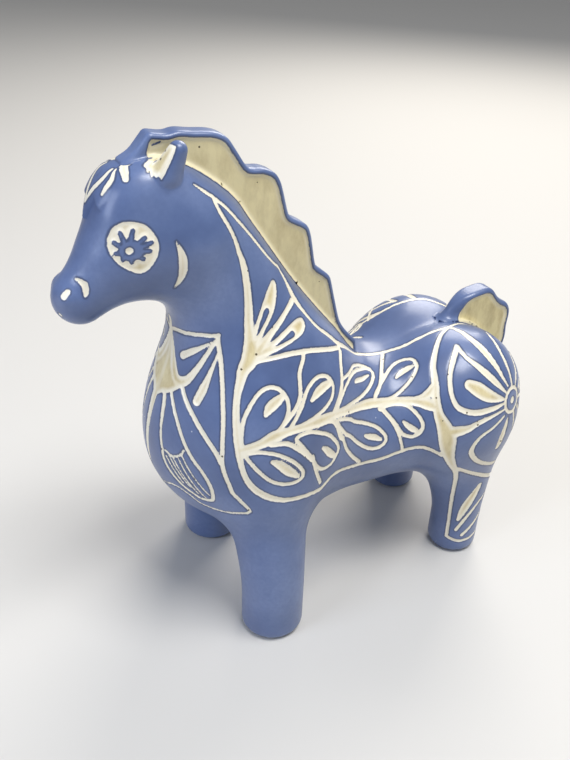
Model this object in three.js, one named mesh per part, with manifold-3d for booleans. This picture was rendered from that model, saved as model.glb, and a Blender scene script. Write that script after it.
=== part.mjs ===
// A standing toy horse in glazed ceramic, hollow, about 175 mm tall.
// Frame: millimetres, +Z up, head towards -X, left flank towards -Y, feet on Z = 0.
// The rounded masses of the animal are one smooth field. Its skin, less its cavity, is cut
// into the clay parts that the potter joins with slip: body, neck, head and four legs.
// Mane crest, tail, forelock and ears are added solid parts seated on that skin.
import * as THREE from "three";
import { MarchingCubes } from "three/addons/objects/MarchingCubes.js";
import { mergeVertices } from "three/addons/utils/BufferGeometryUtils.js";
import Module from "manifold-3d";

const wasm = await Module();
wasm.setup();

// ---- Driving dimensions, in millimetres ----

const WALL = 4; // thickness of the hollow clay wall
const GAP = 0.3; // clearance between two parts that meet

// Where the hollow parts are cut from each other
const LEG_JOINT_Z = 30;
const NECK_JOINT_Z = 100;
const THROAT = { x: -53, z: 122 }; // lower end of the joint between neck and head
const HEAD_JOINT_TILT = 0.216; // radians that this joint leans back from upright

// The masses that make up the skin: centre and radii, or the two ends of a tapered limb
const CHEST = { at: [-34, 0, 73.3], radii: [28.7, 26.4, 32] };
const SHOULDER = { at: [-28.8, 14.9, 76.5], radii: [17.9, 18.8, 26], blend: 18 };
const BARREL = { from: [-18.2, 0, 64.1], to: [43.7, 0, 61.5], r1: 25.4, r2: 25, blend: 20 };
const BARREL_WIDENING = 0.86; // the barrel is wider than it is tall by this factor
const HIP = { at: [55.1, 14.1, 70.8], radii: [24.4, 23.2, 24.9], blend: 18 };
const NECK = { from: [-18.2, 0, 90.7], to: [-42.4, 0, 142.4], r1: 24.6, r2: 15.7, blend: 24 };
const CRANIUM = { from: [-57.6, 0, 152.7], to: [-61.9, 0, 144.2], r1: 16.8, r2: 14.3, blend: 14 };
const CHEEK_HALF_WIDTH = 13.5;
const CHEEK_ROUNDING = 7;
const MUZZLE = { from: [-61.9, 0, 144.2], to: [-79.4, 0, 130.4], r1: 12.2, r2: 8.2, blend: 8 };
const MIDLINE_ROUNDING = 1.4; // softens the crease where left and right masses meet

// Legs: round stubs that lean in and swell as they rise into the body
const FORELEG = { x: -28.4, y: 28.6, radius: 11.2, swell: 3.2, leanIn: 7.6, leanX: 0, top: 68, blend: 8 };
const HINDLEG = { x: 59.1, y: 22.5, radius: 9.7, swell: 9.6, leanIn: 6.7, leanX: -3, top: 66, blend: 10.1 };
const LEG_STRAIGHT_Z = 14; // below this a leg is a plain upright cylinder
const LEG_SWELL_RISE = 52; // height over which the lean and the swell grow to full
const LEG_TOP_ROUNDING = 14;
const FOOT_FILLET = 3.2;
const FOOT_FLOOR = 5; // clay under the bore of a leg
const LEG_SIDES = 24;

const VENT = { x: 12, radius: 3.5 }; // firing vent in the belly

// Mane crest: outline of its scalloped free edge from forehead to withers, then back inside the neck
const MANE_THICKNESS = 7;
const MANE_EDGE = [
  [-65, 169.4],
  [-61.3, 171.4],
  [-56.6, 175.6],
  [-48, 175.4],
  [-38, 174.2],
  [-34, 172.4],
  [-31.3, 169.2],
  [-27.5, 163.2],
  [-22.3, 162],
  [-17.6, 160],
  [-15.4, 155],
  [-13.4, 146.6],
  [-9.8, 144.2],
  [-5.6, 141.2],
  [-4.4, 135.6],
  [-2.8, 128],
  [0.4, 125.2],
  [3.6, 121.8],
  [5.5, 114],
  [8, 105.4],
  [15.5, 95.6],
];
const MANE_ROOT = [
  [6, 88],
  [-12, 108],
  [-30, 138],
  [-48, 158],
  [-58, 162],
];

// Tail: a short crest down the middle of the rump
const TAIL_THICKNESS = 8;
const TAIL_EDGE = [
  [54, 100.6],
  [58, 103.2],
  [65, 103.8],
  [72.8, 105],
  [77.2, 102.6],
  [81, 98.4],
  [85, 96.2],
  [87.3, 91.6],
  [86.8, 87.6],
  [87.2, 80],
  [84, 71],
  [76, 66],
];
const TAIL_ROOT = [
  [62, 68],
  [60, 84],
];

// Forelock: a thin lock with three points lying on the forehead, outline seen from the front
const FORELOCK_THICKNESS = 1.5;
const FORELOCK_OUTLINE = [
  [5.2, 167],
  [7.6, 160.5],
  [6.4, 157.6],
  [3.4, 159.8],
  [0, 153],
  [-3.4, 159.8],
  [-6.4, 157.6],
  [-7.6, 160.5],
  [-5.2, 167],
];

// Ears: rounded stubs, each with a scooped front
const EAR = { foot: [-53.8, 9, 160], tip: [-52.6, 10.6, 172.4], r1: 4.4, r2: 2.7 };
const EAR_SCOOP = { foot: [-60.6, 7, 163], tip: [-57.4, 9.4, 175], radius: 3.4 };

// Marching grids: cells per side, and cell size for the skin and for the plainer cavity
const GRID_CELLS = 64;
const GRID_CENTRE = [0, 0, 88];
const SKIN_CELL = 4.8;
const CAVITY_CELL = 6.5;
const LEAST_FIELD = 0.05; // share of a cell that a grid value keeps from zero, against sliver faces

// ---- The skin as a distance field, negative inside the clay ----

// The smaller of two distances, rounded over a width k where they are close
function smoothMin(a, b, k) {
  const h = Math.max(k - Math.abs(a - b), 0) / k;
  return Math.min(a, b) - (h * h * k) / 4;
}

function smoothMax(a, b, k) {
  return -smoothMin(-a, -b, k);
}

function ellipsoid([x, y, z], { at, radii }) {
  const q = [x - at[0], y - at[1], z - at[2]];
  const k0 = Math.hypot(q[0] / radii[0], q[1] / radii[1], q[2] / radii[2]);
  const k1 = Math.hypot(q[0] / radii[0] ** 2, q[1] / radii[1] ** 2, q[2] / radii[2] ** 2);
  return (k0 * (k0 - 1)) / k1;
}

// Two spheres of radii r1 and r2 and the tapered skin stretched between them
function roundCone(point, { from, to, r1, r2 }) {
  const p = new THREE.Vector3(...point);
  const a = new THREE.Vector3(...from);
  const axis = new THREE.Vector3(...to).sub(a);
  const length = axis.length();
  const pa = p.clone().sub(a);
  const along = pa.dot(axis) / length;
  const across = Math.sqrt(Math.max(pa.lengthSq() - along * along, 0));
  const sine = (r1 - r2) / length;
  const cosine = Math.sqrt(1 - sine * sine);
  const k = along * cosine - across * sine;
  if (k < 0) return Math.hypot(across, along) - r1;
  if (k > length * cosine) return Math.hypot(across, along - length) - r2;
  return across * cosine + along * sine - r1;
}

// How far up its lean and swell a leg is at height z, from 0 to 1
function legRise(z) {
  return THREE.MathUtils.smoothstep(z, LEG_STRAIGHT_Z, LEG_STRAIGHT_Z + LEG_SWELL_RISE);
}

// A leg with a filleted flat foot; y is the distance from the middle of the animal
function legField([x, y, z], leg) {
  const rise = legRise(z);
  const across = Math.hypot(x - leg.x - leg.leanX * rise, y - leg.y + leg.leanIn * rise);
  const side = across - (leg.radius + leg.swell * rise) + FOOT_FILLET;
  const base = FOOT_FILLET - z;
  const inside = Math.min(Math.max(side, base), 0);
  const stub = inside + Math.hypot(Math.max(side, 0), Math.max(base, 0)) - FOOT_FILLET;
  return smoothMax(stub, z - leg.top, LEG_TOP_ROUNDING);
}

function headField(p) {
  const cranium = smoothMax(roundCone(p, CRANIUM), p[1] - CHEEK_HALF_WIDTH, CHEEK_ROUNDING);
  return smoothMin(cranium, roundCone(p, MUZZLE), MUZZLE.blend);
}

function skinField([x, y, z]) {
  const p = [x, Math.hypot(y, MIDLINE_ROUNDING), z];
  const widened = [x, p[1] * BARREL_WIDENING, z];
  let d = ellipsoid(p, CHEST);
  d = smoothMin(d, ellipsoid(p, SHOULDER), SHOULDER.blend);
  d = smoothMin(d, roundCone(widened, BARREL), BARREL.blend);
  d = smoothMin(d, ellipsoid(p, HIP), HIP.blend);
  d = smoothMin(d, roundCone(p, NECK), NECK.blend);
  d = smoothMin(d, headField(p), CRANIUM.blend);
  d = smoothMin(d, legField(p, FORELEG), FORELEG.blend);
  return smoothMin(d, legField(p, HINDLEG), HINDLEG.blend);
}

// ---- Solids ----

// A closed three.js geometry as a solid that can be joined and cut
function solid(geometry) {
  const bare = new THREE.BufferGeometry();
  bare.setAttribute("position", (geometry.index ? geometry.toNonIndexed() : geometry).getAttribute("position"));
  const merged = mergeVertices(bare, 1e-3);
  const vertProperties = new Float32Array(merged.attributes.position.array);
  const triVerts = new Uint32Array(merged.index.array);
  return new wasm.Manifold(new wasm.Mesh({ numProp: 3, vertProperties, triVerts }));
}

// The solid where a field is below a level
function fieldSolid(field, level, cell) {
  const cubes = new MarchingCubes(GRID_CELLS, new THREE.MeshStandardMaterial(), false, false, 16000);
  const half = GRID_CELLS / 2;
  const place = (index, axis) => GRID_CENTRE[axis] + (index - half) * cell;
  const least = LEAST_FIELD * cell;
  cubes.isolation = 0;
  for (let k = 0; k < GRID_CELLS; k++)
    for (let j = 0; j < GRID_CELLS; j++)
      for (let i = 0; i < GRID_CELLS; i++) {
        const value = level - field([place(i, 0), place(j, 1), place(k, 2)]);
        cubes.setCell(i, j, k, Math.abs(value) < least ? (value < 0 ? -least : least) : value);
      }
  cubes.update();
  const used = cubes.geometry.drawRange.count * 3;
  const positions = cubes.geometry.getAttribute("position").array.slice(0, used);
  const geometry = new THREE.BufferGeometry();
  geometry.setAttribute("position", new THREE.BufferAttribute(positions, 3));
  geometry.scale(half * cell, half * cell, half * cell);
  geometry.translate(...GRID_CENTRE);
  return solid(geometry);
}

// Everything between two heights
function layer(low, high) {
  return solid(new THREE.BoxGeometry(300, 300, high - low).translate(0, 0, (low + high) / 2));
}

// Everything on the head's side of the leaning joint at the throat, moved towards the head by shift
function headSide(shift) {
  const block = new THREE.BoxGeometry(120, 120, 120).translate(-60 - shift, 0, 45);
  return solid(block.rotateY(HEAD_JOINT_TILT).translate(THROAT.x, 0, THROAT.z));
}

// A flat outline in the plane of X and Z, given thickness along Y with rounded edges
function crest(edge, root, thickness) {
  const outline = new THREE.Shape([...edge, ...root].map((p) => new THREE.Vector2(...p)));
  const bevel = 0.2 * thickness;
  const geometry = new THREE.ExtrudeGeometry(outline, {
    depth: thickness - 2 * bevel,
    bevelThickness: bevel,
    bevelSize: bevel,
    bevelOffset: -bevel,
    bevelSegments: 2,
  });
  return solid(geometry.rotateX(Math.PI / 2).translate(0, thickness / 2 - bevel, 0));
}

// A tapered round bar between two points with ball ends
function roundedStub(foot, tip, r1, r2) {
  const axis = new THREE.Vector3(...tip).sub(new THREE.Vector3(...foot));
  const length = axis.length();
  const profile = [];
  const STEPS = 5;
  for (let i = 0; i <= STEPS; i++) {
    const turn = (Math.PI / 2) * (i / STEPS);
    profile.push(new THREE.Vector2(r1 * Math.sin(turn), -r1 * Math.cos(turn)));
  }
  for (let i = 0; i <= STEPS; i++) {
    const turn = (Math.PI / 2) * (i / STEPS);
    profile.push(new THREE.Vector2(r2 * Math.cos(turn), length + r2 * Math.sin(turn)));
  }
  profile[0].x = 0;
  profile[profile.length - 1].x = 0;
  const upright = new THREE.Vector3(0, 1, 0);
  const turned = new THREE.Quaternion().setFromUnitVectors(upright, axis.normalize());
  return solid(new THREE.LatheGeometry(profile, 14).applyQuaternion(turned).translate(...foot));
}

// One leg up to its joint: a lathe-turned cup, then leaned in and swollen like the skin above it
function legCup(leg, side) {
  const bore = leg.radius - WALL;
  const profile = [new THREE.Vector2(0, 0)];
  for (const turn of [0, Math.PI / 6, Math.PI / 3, Math.PI / 2]) {
    const across = leg.radius - FOOT_FILLET + FOOT_FILLET * Math.sin(turn);
    profile.push(new THREE.Vector2(across, FOOT_FILLET * (1 - Math.cos(turn))));
  }
  for (const z of [LEG_STRAIGHT_Z, 20, 25, LEG_JOINT_Z]) profile.push(new THREE.Vector2(leg.radius, z));
  for (const z of [LEG_JOINT_Z, 20, FOOT_FLOOR]) profile.push(new THREE.Vector2(bore, z));
  profile.push(new THREE.Vector2(0, FOOT_FLOOR));
  const geometry = new THREE.LatheGeometry(profile, LEG_SIDES).rotateX(Math.PI / 2);
  const position = geometry.getAttribute("position");
  for (let i = 0; i < position.count; i++) {
    const rise = legRise(position.getZ(i));
    const swollen = 1 + (leg.swell * rise) / leg.radius;
    const x = leg.x + leg.leanX * rise + position.getX(i) * swollen;
    const y = side * (leg.y - leg.leanIn * rise) + position.getY(i) * swollen;
    position.setXYZ(i, x, y, position.getZ(i));
  }
  return solid(geometry);
}

// ---- The hollow clay parts ----

const skin = fieldSolid(skinField, 0, SKIN_CELL);
const cavity = fieldSolid(skinField, -WALL, CAVITY_CELL);
const seat = fieldSolid(skinField, GAP, SKIN_CELL); // the skin grown by the gap, to seat added parts on
const shell = skin.subtract(cavity);

const vent = new THREE.CylinderGeometry(VENT.radius, VENT.radius, 24, 16).rotateX(Math.PI / 2);
const body = shell
  .intersect(layer(LEG_JOINT_Z + GAP, NECK_JOINT_Z))
  .subtract(solid(vent.translate(VENT.x, 0, 36)));
const neckAndHead = shell.intersect(layer(NECK_JOINT_Z + GAP, 200));
const neck = neckAndHead.subtract(headSide(0));
const head = neckAndHead.intersect(headSide(GAP));

// ---- The added solid parts ----

const mane = crest(MANE_EDGE, MANE_ROOT, MANE_THICKNESS).subtract(seat);
const tail = crest(TAIL_EDGE, TAIL_ROOT, TAIL_THICKNESS).subtract(seat);

const lockOutline = new THREE.Shape(FORELOCK_OUTLINE.map((p) => new THREE.Vector2(...p)));
const lockBlock = new THREE.ExtrudeGeometry(lockOutline, { depth: 30, bevelEnabled: false });
lockBlock.rotateX(Math.PI / 2).rotateZ(-Math.PI / 2).translate(-60, 0, 0);
const forelock = fieldSolid(skinField, FORELOCK_THICKNESS + GAP, SKIN_CELL).intersect(solid(lockBlock)).subtract(seat);

function ear(side) {
  const mirrored = ([x, y, z]) => [x, side * y, z];
  const stub = roundedStub(mirrored(EAR.foot), mirrored(EAR.tip), EAR.r1, EAR.r2);
  const scoop = roundedStub(mirrored(EAR_SCOOP.foot), mirrored(EAR_SCOOP.tip), EAR_SCOOP.radius, EAR_SCOOP.radius);
  return stub.subtract(scoop).subtract(seat);
}

// ---- Materials and scene ----

const blueGlaze = new THREE.MeshStandardMaterial({ color: 0x6c83b6, roughness: 0.35, metalness: 0 });
const creamClay = new THREE.MeshStandardMaterial({ color: 0xd8d0a8, roughness: 0.6, metalness: 0 });

const horse = new THREE.Group();

function addPart(name, shape, material) {
  const { vertProperties, triVerts } = shape.getMesh();
  const geometry = new THREE.BufferGeometry();
  geometry.setAttribute("position", new THREE.BufferAttribute(vertProperties, 3));
  geometry.setIndex(new THREE.BufferAttribute(triVerts, 1));
  geometry.computeVertexNormals();
  const mesh = new THREE.Mesh(geometry, material.clone());
  mesh.name = name;
  horse.add(mesh);
}

addPart("body_shell", body, blueGlaze);
addPart("neck_shell", neck, blueGlaze);
addPart("head_shell", head, blueGlaze);
addPart("mane_crest", mane, creamClay);
addPart("forelock", forelock, blueGlaze);
addPart("tail", tail, creamClay);
for (const [name, side] of [["left", -1], ["right", 1]]) {
  addPart(`leg_front_${name}`, legCup(FORELEG, side), blueGlaze);
  addPart(`leg_hind_${name}`, legCup(HINDLEG, side), blueGlaze);
  addPart(`ear_${name}`, ear(side), blueGlaze);
}

export default horse;
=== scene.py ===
import math

import bpy
import numpy as np
from mathutils import Matrix, Vector


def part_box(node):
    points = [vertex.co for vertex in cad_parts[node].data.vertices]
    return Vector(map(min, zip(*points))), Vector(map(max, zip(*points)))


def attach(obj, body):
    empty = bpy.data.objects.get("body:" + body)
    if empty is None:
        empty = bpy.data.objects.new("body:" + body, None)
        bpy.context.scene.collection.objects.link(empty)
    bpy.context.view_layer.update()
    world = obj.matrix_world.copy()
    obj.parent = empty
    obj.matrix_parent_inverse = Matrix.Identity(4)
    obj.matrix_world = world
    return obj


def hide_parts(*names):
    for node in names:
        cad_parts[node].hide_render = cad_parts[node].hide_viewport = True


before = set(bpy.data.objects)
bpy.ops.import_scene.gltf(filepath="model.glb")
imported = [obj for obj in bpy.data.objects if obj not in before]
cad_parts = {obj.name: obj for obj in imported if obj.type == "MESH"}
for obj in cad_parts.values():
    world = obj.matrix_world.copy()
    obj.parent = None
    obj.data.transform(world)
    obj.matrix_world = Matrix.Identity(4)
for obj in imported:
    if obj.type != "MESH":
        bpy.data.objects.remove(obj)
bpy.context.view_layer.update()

# ---- The clay skin: chest, barrel, hips, neck, head and legs ----
# In the real horse this is a hollow slip-cast earthenware wall, fettled smooth while damp, so
# that every mass runs into the next. It is shaped here in one go, from rounded lumps drawn
# onto one smooth skin, and cut into its seven clay parts further down.
MM = 0.001


def box_mm(node_name):
    lo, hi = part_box(node_name)
    return np.array(lo) / MM, np.array(hi) / MM


fore_lo, fore_hi = box_mm("leg_front_left")
hind_lo, hind_hi = box_mm("leg_hind_left")
FORE_RADIUS = 11.2
HIND_RADIUS = 9.7
fore_foot = ((fore_lo[0] + fore_hi[0]) / 2, -fore_lo[1] - FORE_RADIUS)
HIND_FOOT_INSET = 11.2, 0.7
hind_foot = (hind_hi[0] - HIND_FOOT_INSET[0], -hind_lo[1] - HIND_RADIUS - HIND_FOOT_INSET[1])


def smooth_min(a, b, k):
    h = np.maximum(k - np.abs(a - b), 0) / k
    return np.minimum(a, b) - h * h * k / 4


def smooth_max(a, b, k):
    return -smooth_min(-a, -b, k)


def smooth_step(x, low, high):
    t = np.clip((x - low) / (high - low), 0, 1)
    return t * t * (3 - 2 * t)


def egg(p, middle, radii):
    q = (p - np.array(middle)) / np.array(radii)
    k0 = np.linalg.norm(q, axis=1)
    k1 = np.linalg.norm(q / np.array(radii), axis=1)
    return k0 * (k0 - 1) / np.maximum(k1, 1e-9)


def taper(p, start, end, r_start, r_end):
    start = np.array(start, float)
    axis = np.array(end, float) - start
    length = np.linalg.norm(axis)
    from_start = p - start
    along = from_start @ axis / length
    across = np.sqrt(np.maximum((from_start**2).sum(1) - along**2, 0))
    sine = (r_start - r_end) / length
    cosine = math.sqrt(1 - sine * sine)
    k = along * cosine - across * sine
    side = across * cosine + along * sine - r_start
    near = np.hypot(across, along) - r_start
    far = np.hypot(across, along - length) - r_end
    return np.where(k < 0, near, np.where(k > length * cosine, far, side))


def leg(p, foot, radius, swell, lean, lean_x, top):
    """A stub that swells and leans inwards as it rises, with its sole's edge rounded off."""
    fillet = 3.2
    rise = smooth_step(p[:, 2], 14, 66)
    across = np.hypot(p[:, 0] - foot[0] - lean_x * rise, p[:, 1] - foot[1] + lean * rise)
    side = across - (radius + swell * rise) + fillet
    sole = fillet - p[:, 2]
    stub = np.minimum(np.maximum(side, sole), 0) - fillet
    stub = stub + np.hypot(np.maximum(side, 0), np.maximum(sole, 0))
    return smooth_max(stub, p[:, 2] - top, 14)


# The rounded masses: each egg has its middle and its three half widths
CHEST = (-34, 0, 73.3), (28.7, 26.4, 32)
SHOULDER = (-28.8, 14.9, 76.5), (17.9, 18.8, 26)
HIP = (55.1, 14.1, 70.8), (24.4, 23.2, 24.9)
NOSTRIL = (-82.9, 4.7, 132.9), (2.7, 2.6, 2.9)
# The tapered ones have their two ends and the radius at each
BARREL = (-18.2, 0, 64.1), (43.7, 0, 61.5), 25.4, 25
NECK = (-18.2, 0, 90.7), (-42.4, 0, 142.4), 24.6, 15.7
CROWN = (-57.6, 0, 152.7), (-61.9, 0, 144.2), 16.8, 14.3
MUZZLE = (-61.9, 0, 144.2), (-79.4, 0, 130.4), 12.2, 8.2
BARREL_SQUEEZE = 0.86
CHEEK_HALF_WIDTH = 13.5
VENT_X = 12
VENT_RADIUS = 3.5
VENT_TOP = 44


def skin(p):
    """Distance in mm from points to the clay surface, negative inside; the last number of
    each blend is how widely the masses run into each other."""
    q = p.copy()
    q[:, 1] = np.sqrt(q[:, 1] ** 2 + 2)
    d = egg(q, *CHEST)
    d = smooth_min(d, egg(q, *SHOULDER), 18)
    d = smooth_min(d, taper(q * (1, BARREL_SQUEEZE, 1), *BARREL), 20)
    d = smooth_min(d, egg(q, *HIP), 18)
    d = smooth_min(d, taper(q, *NECK), 24)
    head = smooth_max(taper(q, *CROWN), q[:, 1] - CHEEK_HALF_WIDTH, 7)
    head = smooth_min(head, taper(q, *MUZZLE), 8)
    d = smooth_min(d, head, 14)
    d = smooth_min(d, egg(q, *NOSTRIL), 2)
    d = smooth_min(d, leg(q, fore_foot, FORE_RADIUS, 3.2, 7.6, 0, 68), 8)
    d = smooth_min(d, leg(q, hind_foot, HIND_RADIUS, 9.6, 6.7, -3, 66), 10.1)
    vent = np.maximum(np.hypot(p[:, 0] - VENT_X, p[:, 1]) - VENT_RADIUS, p[:, 2] - VENT_TOP)
    return smooth_max(d, -vent, 1.2)


CORNERS = np.array([(1, 1, 1), (1, -1, -1), (-1, 1, -1), (-1, -1, 1)], float)


def value_and_slope(field, p, step=0.03):
    values = [field(p + step * corner) for corner in CORNERS]
    slope = sum(v[:, None] * corner for v, corner in zip(values, CORNERS)) / (4 * step)
    return sum(values) / 4, slope


def settle(p, field, rounds, most=2.0):
    """Moves points onto the surface where the field is zero, at most so many mm a round."""
    for _ in range(rounds):
        value, slope = value_and_slope(field, p)
        move = np.clip(value, -most, most)[:, None] * slope
        p = p - move / np.maximum((slope**2).sum(1), 0.05)[:, None]
    return p


def points_of(piece):
    flat = np.empty(len(piece.data.vertices) * 3)
    piece.data.vertices.foreach_get("co", flat)
    return flat.reshape(-1, 3) / MM


def move_points(piece, p):
    piece.data.vertices.foreach_set("co", (p * MM).ravel())
    piece.data.update()


def only(*pieces):
    if bpy.context.object and bpy.context.object.mode != "OBJECT":
        bpy.ops.object.mode_set(mode="OBJECT")
    bpy.ops.object.select_all(action="DESELECT")
    for piece in pieces:
        piece.select_set(True)
    bpy.context.view_layer.objects.active = pieces[0]


def remesh(piece, size_mm):
    only(piece)
    cells = piece.modifiers.new("even skin", "REMESH")
    cells.mode = "VOXEL"
    cells.voxel_size = size_mm * MM
    bpy.ops.object.modifier_apply(modifier=cells.name)


def lump(middle, radii):
    bpy.ops.object.select_all(action="DESELECT")
    bpy.ops.mesh.primitive_uv_sphere_add(
        segments=32, ring_count=16, radius=1, location=Vector(middle) * MM, scale=Vector(radii) * MM
    )
    bpy.ops.object.transform_apply()
    return bpy.context.object


def post(x, y, radius, top):
    bpy.ops.object.select_all(action="DESELECT")
    bpy.ops.mesh.primitive_cylinder_add(
        vertices=32, radius=radius * MM, depth=top * MM, location=(x * MM, y * MM, top * MM / 2)
    )
    bpy.ops.object.transform_apply()
    return bpy.context.object


lumps = [lump(*CHEST)]
for x in range(-18, 46, 9):
    lumps.append(lump((x, 0, 63), (25.2, 29, 25.2)))
for i in range(5):
    lumps.append(lump((-18.2 - 6.05 * i, 0, 90.7 + 12.9 * i), (24.6 - 2.2 * i,) * 3))
lumps.append(lump((-57.6, 0, 152.7), (16.5, 13.5, 16.5)))
lumps.append(lump((-63.5, 0, 144.2), (12.8, 12.8, 12.8)))
lumps.append(lump((-71, 0, 137.5), (10.5, 10.5, 10.5)))
lumps.append(lump((-79.4, 0, 130.4), (8.2, 8.2, 8.2)))
for side in (-1, 1):
    for (x, y, z), radii in (SHOULDER, HIP):
        lumps.append(lump((x, side * y, z), radii))
    lumps.append(post(fore_foot[0], side * (fore_foot[1] - 3), FORE_RADIUS, 66))
    lumps.append(post(hind_foot[0], side * (hind_foot[1] - 3), HIND_RADIUS, 64))
only(*lumps)
bpy.ops.object.join()
whole = bpy.context.object
whole.name = "whole_skin"
ROUGH_CELL = 1.6
SKIN_CELL = 0.69
remesh(whole, ROUGH_CELL)
move_points(whole, settle(points_of(whole), skin, 8))
remesh(whole, SKIN_CELL)
move_points(whole, settle(points_of(whole), skin, 2, 0.6))

# ---- Mane crest, tail, forelock and ears: solid clay seated on the skin with slip ----
# Each is a slab or stub pressed on while leather-hard, its foot smoothed into the skin with a
# wet brush. The crest and the tail have thick rounded rims around a hollowed panel, and their
# outlines are given in millimetres as (x, z); the forelock's is (y, z).
mane_lo, mane_hi = box_mm("mane_crest")
tail_lo, tail_hi = box_mm("tail")
MANE_HALF = (mane_hi[1] - mane_lo[1]) / 2
TAIL_HALF = (tail_hi[1] - tail_lo[1]) / 2


def curve(points, gap=0.8, closed=False):
    """Points along a smooth line through the given ones, about gap millimetres apart."""
    points = np.array(points, float)
    if closed:
        around = np.vstack([points[-1:], points, points[:2]])
    else:
        around = np.vstack([2 * points[:1] - points[1:2], points, 2 * points[-1:] - points[-2:-1]])
    out = []
    for a, b, c, d in zip(around, around[1:], around[2:], around[3:]):
        for t in np.arange(0, 1, 1 / max(1, round(np.linalg.norm((c - b)[:3]) / gap))):
            ease = 2 * b + (c - a) * t + (2 * a - 5 * b + 4 * c - d) * t**2
            out.append((ease + (3 * b - a - 3 * c + d) * t**3) / 2)
    if not closed:
        out.append(points[-1])
    return np.array(out)


def outline_distance(u, v, outline):
    """Signed distance to a closed outline in a plane, negative inside."""
    least = np.full(len(u), 1e9)
    inside = np.zeros(len(u), bool)
    for (ax, ay), (bx, by) in zip(outline, np.roll(outline, -1, axis=0)):
        ex, ey = bx - ax, by - ay
        wx, wy = u - ax, v - ay
        t = np.clip((wx * ex + wy * ey) / max(ex * ex + ey * ey, 1e-12), 0, 1)
        least = np.minimum(least, (wx - t * ex) ** 2 + (wy - t * ey) ** 2)
        crossing = (ay > v) != (by > v)
        if ay != by:
            inside ^= crossing & (u < ex * (v - ay) / (by - ay) + ax)
    return np.where(inside, -1, 1) * np.sqrt(least)


mane_edge = curve([
    (-65, 168.4), (-61.6, 170.4), (-59.2, 172.9), (-57.4, 175), (-56.6, 175.5), (-54.6, 175.2),
    (-51.6, 174.8), (-48.4, 175.3), (-44, 174.7), (-38, 174), (-34, 172.2), (-31.3, 168.6), (-27.9, 163.4),
    (-25.8, 162.3), (-22.3, 161.9), (-18.6, 160.2), (-16.6, 157.5), (-15.4, 154), (-13.7, 147.6),
    (-12.6, 145.6), (-9.8, 144), (-6.6, 141.9), (-5.2, 139), (-4.4, 135.6), (-3.1, 129), (-2.1, 127),
    (0.4, 125), (2.8, 122.8), (3.8, 120.4), (5.5, 114), (8, 105.4), (11, 100.5), (15.5, 95.6),
], 1.2)
mane_root = [(17, 84), (6, 84), (-12, 104), (-26, 130), (-40, 150), (-50, 157), (-60, 160)]
mane_outline = np.vstack([mane_edge, mane_root])
MANE_RIM = 1.7
MANE_PANEL_FRONT = -57.9
tail_edge = curve([
    (54, 92.6), (56.4, 96.6), (59.2, 100.2), (62.4, 102.6), (66, 103.9), (70, 104.6), (73.4, 104.8),
    (76.4, 103.4), (79.2, 100.2), (81.5, 98.2), (84.6, 96.4), (86.4, 93.8), (86.8, 90.6), (86.6, 86.6),
    (86.9, 80), (84, 72), (77, 66),
], 1.2)
tail_outline = np.vstack([tail_edge, [(68, 66), (58, 80)]])
TAIL_RIM = 1.9
TAIL_PANEL_FRONT = 63


def slab(p, outline, half, rim):
    flat = outline_distance(p[:, 0], p[:, 2], outline) + rim
    thick = np.abs(p[:, 1]) - half + rim
    inside = np.minimum(np.maximum(flat, thick), 0)
    return inside + np.hypot(np.maximum(flat, 0), np.maximum(thick, 0)) - rim


def mane_panel(p, on_skin):
    """Below zero where the crest's side is hollowed and bare, inside its rim."""
    inset = outline_distance(p[:, 0], p[:, 2], mane_outline) + MANE_RIM
    front = MANE_PANEL_FRONT - p[:, 0] + 0.5 * (172 - p[:, 2]) * (p[:, 2] > 172)
    return smooth_max(smooth_max(inset, front, 2.5), 0.35 - on_skin, 0.3)


def tail_panel(p, on_skin):
    inset = outline_distance(p[:, 0], p[:, 2], tail_outline) + TAIL_RIM
    front = TAIL_PANEL_FRONT - p[:, 0] + 0.6 * (p[:, 2] - 99)
    return smooth_max(smooth_max(inset, front, 1.5), 0.35 - on_skin, 0.3)


def mane(p):
    d = slab(p, mane_outline, MANE_HALF - 0.1, 1.5)
    sunk = np.maximum(mane_panel(p, skin(p)), MANE_HALF - 0.85 - np.abs(p[:, 1]))
    return smooth_max(d, -sunk, 0.7)


def tail(p):
    # The tail's front end is drawn out thin where it starts from the rump
    thinner = 2.1 * (1 - smooth_step(p[:, 0], 55, 67))
    q = p.copy()
    q[:, 1] = np.abs(q[:, 1]) + thinner
    d = slab(q, tail_outline, TAIL_HALF - 0.1, 2.0)
    sunk = np.maximum(tail_panel(p, skin(p)), TAIL_HALF - 0.9 - q[:, 1])
    return smooth_max(d, -sunk, 0.8)


forelock_outline = np.array([
    (5.2, 167.5), (7.2, 163), (7.5, 160.5), (6.4, 157.6), (4.9, 158.6), (3.3, 160), (1.9, 157.6),
    (0.3, 153.2), (-0.3, 153.2), (-1.9, 157.6), (-3.3, 160), (-4.9, 158.6), (-6.4, 157.6),
    (-7.5, 160.5), (-7.2, 163), (-5.2, 167.5),
])


def forelock(p):
    flat = outline_distance(p[:, 1], p[:, 2], forelock_outline)
    d = smooth_max(flat, skin(p) - 1.3, 1.6)
    return np.maximum(d, p[:, 0] + 62)


FAR_EAR_LOWER = 2.4


def ear(p):
    """A stub with a flat cut front; the far one was pressed on a little lower."""
    near = p[:, 1] < 0
    q = p.copy()
    q[:, 1] = np.abs(q[:, 1])
    q[:, 2] = q[:, 2] + np.where(near, 0, FAR_EAR_LOWER)
    d = taper(q, (-54.3, 8.5, 165.4), (-51.5, 10.3, 172.4), 4.3, 2.6)
    return smooth_max(d, -ear_scoop(q), 0.8)


def ear_scoop(q):
    """The flat cut on the ear's front and outer side, hollowed a little."""
    return taper(q, (-65.2, 18.4, 168.2), (-60.6, 17.6, 177.6), 9.6, 9.61)


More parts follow.
